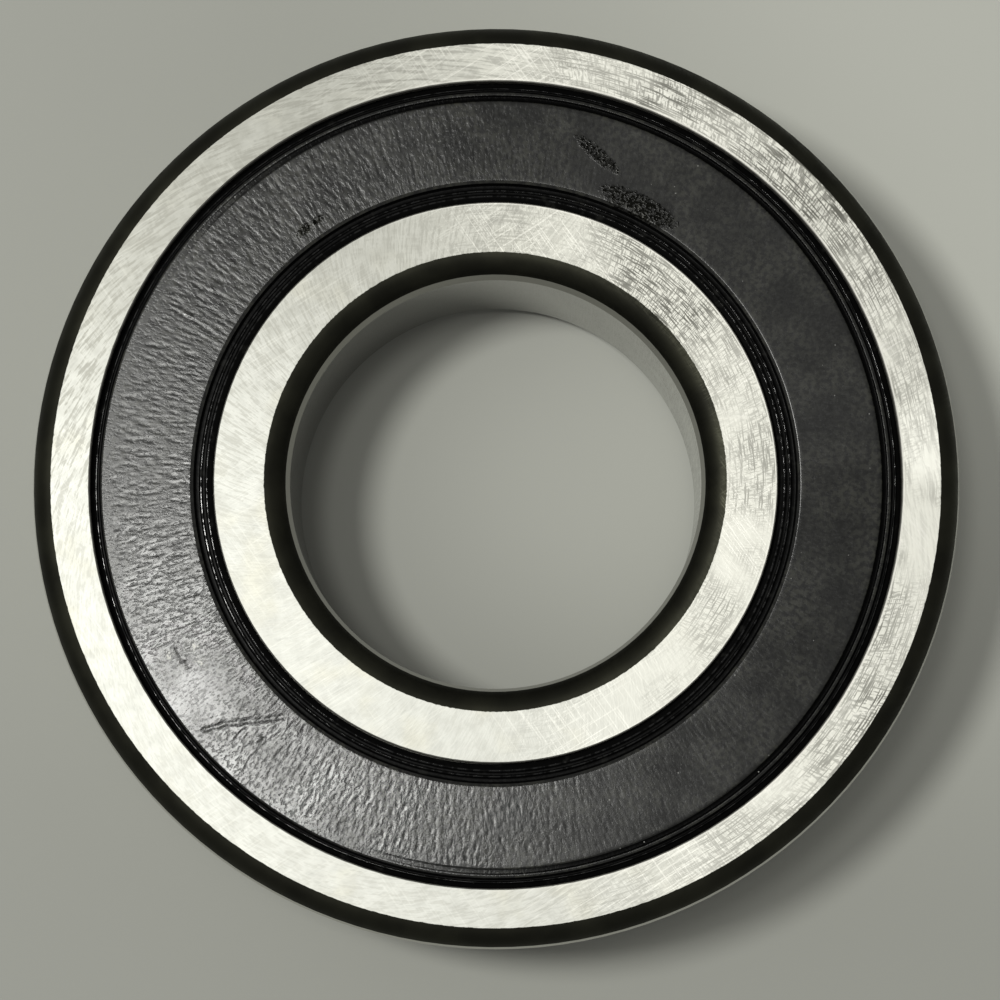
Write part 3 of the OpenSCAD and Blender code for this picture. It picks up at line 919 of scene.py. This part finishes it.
class BEARING_OT_rings(bpy.types.Operator):
    """Finish the ground, turned and polished surfaces of both rings"""

    bl_idname = "bearing.rings"
    bl_label = "Finish Rings"

    def execute(self, context):
        sizes = context.scene.bearing_sizes
        outer = ring_material(
            "Outer Ring Steel", corner_r=OUTER_R - sizes.rim_corner, side=1, corner_w=sizes.rim_corner,
            foot_z=sizes.rim_foot, race_z=OUTER_RACE_Z, seal_edge_r=OUTER_EDGE_R,
            wall_tone_and_shade=0.62, lay_share=0.2, depth=1.0,
        )
        inner = ring_material(
            "Inner Ring Steel", corner_r=BORE_R + sizes.bore_corner, side=-1, corner_w=sizes.bore_corner,
            foot_z=sizes.bore_foot, race_z=INNER_RACE_Z, seal_edge_r=INNER_EDGE_R,
            # Painted shade: the bore wall is coloured dark, standing for the shadowed floor it reflects
            wall_tone_and_shade=0.3, lay_share=0.75, depth=0.7,
        )
        finish_nodes(["outer_ring"], outer)
        finish_nodes(["inner_ring"], inner)
        return {"FINISHED"}


class BEARING_OT_seals(bpy.types.Operator):
    """Mould the upper rubber seal, and turn a copy of it over for the lower side"""

    bl_idname = "bearing.seals"
    bl_label = "Model Seals"

    def execute(self, context):
        settings = context.scene.bearing_seal
        upper = spin_outline("upper_seal", seal_outline(settings.skin_rings), settings.segments)
        mould_skin(upper, settings)
        fade_groove(upper)
        smooth(upper)
        upper.data.materials.append(skin_material())
        upper.data.materials.append(lip_material())
        part_lip(upper)

        bpy.ops.object.select_all(action="DESELECT")
        upper.select_set(True)
        context.view_layer.objects.active = upper
        bpy.ops.object.duplicate()
        lower = context.object
        lower.name = lower.data.name = "lower_seal"
        lower.rotation_euler.x = math.pi
        bpy.ops.object.transform_apply(location=False, rotation=True, scale=False)

        for piece, node in ((upper, "seal_rubber_upper"), (lower, "seal_rubber_lower")):
            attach(piece, "outer_assembly")
            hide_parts(node)
        return {"FINISHED"}


class BEARING_OT_balls(bpy.types.Operator):
    """Finish the lapped balls"""

    bl_idname = "bearing.balls"
    bl_label = "Finish Balls"

    def execute(self, context):
        lapped = plain_steel(
            "Lapped Ball Steel", BALL_LOW, BALL_HIGH, patch=6 * MM, rough=0.05, spread=0.05,
            relief=0.0004 * MM, marks=0.1,
        )
        finish_nodes(BALLS, lapped)
        return {"FINISHED"}


class BEARING_OT_cage(bpy.types.Operator):
    """Finish the pressed cage and its rivets"""

    bl_idname = "bearing.cage"
    bl_label = "Finish Cage"

    def execute(self, context):
        steel = context.scene.bearing_steel
        sheet = plain_steel(
            "Pressed Cage Sheet", CAGE_LOW, steel.pressed, patch=1.2 * MM, rough=0.3, spread=0.2,
            relief=0.02 * MM,
        )
        upset = plain_steel(
            "Upset Rivet Steel", RIVET_LOW, RIVET_HIGH, patch=0.6 * MM, rough=0.22, spread=0.2,
            relief=0.02 * MM,
        )
        finish_nodes(["cage_half_upper", "cage_half_lower"], sheet)
        finish_nodes(["cage_rivets"], upset)
        return {"FINISHED"}


class BEARING_OT_inserts(bpy.types.Operator):
    """Finish the seals' phosphated sheet-steel inserts"""

    bl_idname = "bearing.inserts"
    bl_label = "Finish Inserts"

    def execute(self, context):
        steel = context.scene.bearing_steel
        coated = plain_steel(
            "Phosphated Insert", INSERT_DARK, steel.phosphate, patch=0.5 * MM, rough=0.45, spread=0.2,
            relief=0.01 * MM,
        )
        finish_nodes(["seal_insert_upper", "seal_insert_lower"], coated)
        return {"FINISHED"}


def area_light(name, place, size, power):
    """A level, round light that shines down."""
    lamp = bpy.data.lights.new(name, "AREA")
    lamp.shape = "DISK"
    lamp.size = size
    lamp.energy = power
    lamp.color = LAMP_TONE
    holder = bpy.data.objects.new(name, lamp)
    bpy.context.collection.objects.link(holder)
    holder.location = place
    holder.visible_camera = False


class BEARING_OT_stage(bpy.types.Operator):
    """Set the camera, the floor and the lights"""

    bl_idname = "bearing.stage"
    bl_label = "Set Stage"

    def execute(self, context):
        scene = context.scene
        settings = scene.bearing_stage
        lens = bpy.data.cameras.new("Camera")
        lens.lens = CAMERA_LENS
        lens.sensor_width = CAMERA_SENSOR
        lens.clip_start = 0.01
        camera = bpy.data.objects.new("Camera", lens)
        context.collection.objects.link(camera)
        camera.location = CAMERA_PLACE
        camera.rotation_euler = [math.radians(angle) for angle in CAMERA_TURN]
        scene.camera = camera

        bpy.ops.object.select_all(action="DESELECT")
        bpy.ops.mesh.primitive_plane_add(size=FLOOR_WIDTH, location=(0, 0, 0))
        floor = context.object
        floor.name = "floor"
        for vertex in floor.data.vertices:
            vertex.co.z = -FACE_Z
        material, tree, shader, spot = new_material("Bench Top", 0.0, 0.3)
        cloud = speckle(tree, spot, 9.0, 3.0)
        parts = put(tree, "ShaderNodeSeparateXYZ", {0: spot}).outputs
        # Painted light: paler towards the far right corner, and a painted pool of light under the bore
        right = sums(tree, "MULTIPLY_ADD", step(tree, parts["X"], -0.03, 0.05), 0.8, 0.2)
        painted_light_rise = sums(tree, "MULTIPLY", right, step(tree, parts["Y"], -0.045, 0.015))
        middle = near(tree, spot, BORE_FLOOR_LIGHT_POOL, 4 * MM, 26 * MM)
        middle = sums(tree, "MULTIPLY_ADD", middle, 0.3, sums(tree, "MULTIPLY", painted_light_rise, 0.9))
        painted_light_rise = sums(tree, "MAXIMUM", painted_light_rise, middle)
        # The cloud is the floor's own tone; the rise on top of it is painted light
        drift = sums(tree, "MULTIPLY_ADD", cloud, 0.12, sums(tree, "MULTIPLY", painted_light_rise, 0.9))
        painted_lit_floor = [min(1, 1.6 * part) for part in settings.floor]
        tree.links.new(blend(tree, drift, settings.floor, painted_lit_floor), shader.inputs["Base Color"])
        shader.inputs["Roughness"].default_value = 0.6
        floor.data.materials.append(material)

        world = bpy.data.worlds.new("Room")
        world.use_nodes = True
        scene.world = world
        sky = world.node_tree.nodes["Background"]
        sky.inputs["Color"].default_value = SKY_TONE
        sky.inputs["Strength"].default_value = settings.ambient
        area_light("Key Lamp", KEY_PLACE, KEY_WIDTH, settings.key)
        area_light("Small Lamp", SPOT_PLACE, SPOT_WIDTH, settings.spot)

        scene.view_settings.view_transform = "Standard"
        return {"FINISHED"}


class BEARING_PT_panel(bpy.types.Panel):
    """Lists the bearing's steps and settings"""

    bl_label = "Ball Bearing"
    bl_idname = "BEARING_PT_panel"
    bl_space_type = "VIEW_3D"
    bl_region_type = "UI"
    bl_category = "Bearing"

    def draw(self, context):
        for operator in OPERATORS:
            self.layout.operator(operator.bl_idname)
        for group_name in SETTINGS:
            settings = getattr(context.scene, group_name)
            box = self.layout.box()
            for name in settings.__annotations__:
                box.prop(settings, name)


OPERATORS = (
    BEARING_OT_stage, BEARING_OT_rings, BEARING_OT_seals, BEARING_OT_balls, BEARING_OT_cage,
    BEARING_OT_inserts,
)
SETTINGS = {
    "bearing_sizes": BearingSizes,
    "bearing_seal": SealFinish,
    "bearing_steel": SteelFinish,
    "bearing_stage": StageSettings,
}


def register():
    for made in (*SETTINGS.values(), *OPERATORS, BEARING_PT_panel):
        bpy.utils.register_class(made)
    for name, made in SETTINGS.items():
        setattr(bpy.types.Scene, name, PointerProperty(type=made))


def unregister():
    for name in SETTINGS:
        delattr(bpy.types.Scene, name)
    for made in (BEARING_PT_panel, *reversed(OPERATORS), *reversed(SETTINGS.values())):
        bpy.utils.unregister_class(made)


def main():
    register()
    bpy.ops.bearing.stage()
    bpy.ops.bearing.rings()
    bpy.ops.bearing.seals()
    bpy.ops.bearing.balls()
    bpy.ops.bearing.cage()
    bpy.ops.bearing.inserts()


if __name__ == "__main__":
    main()
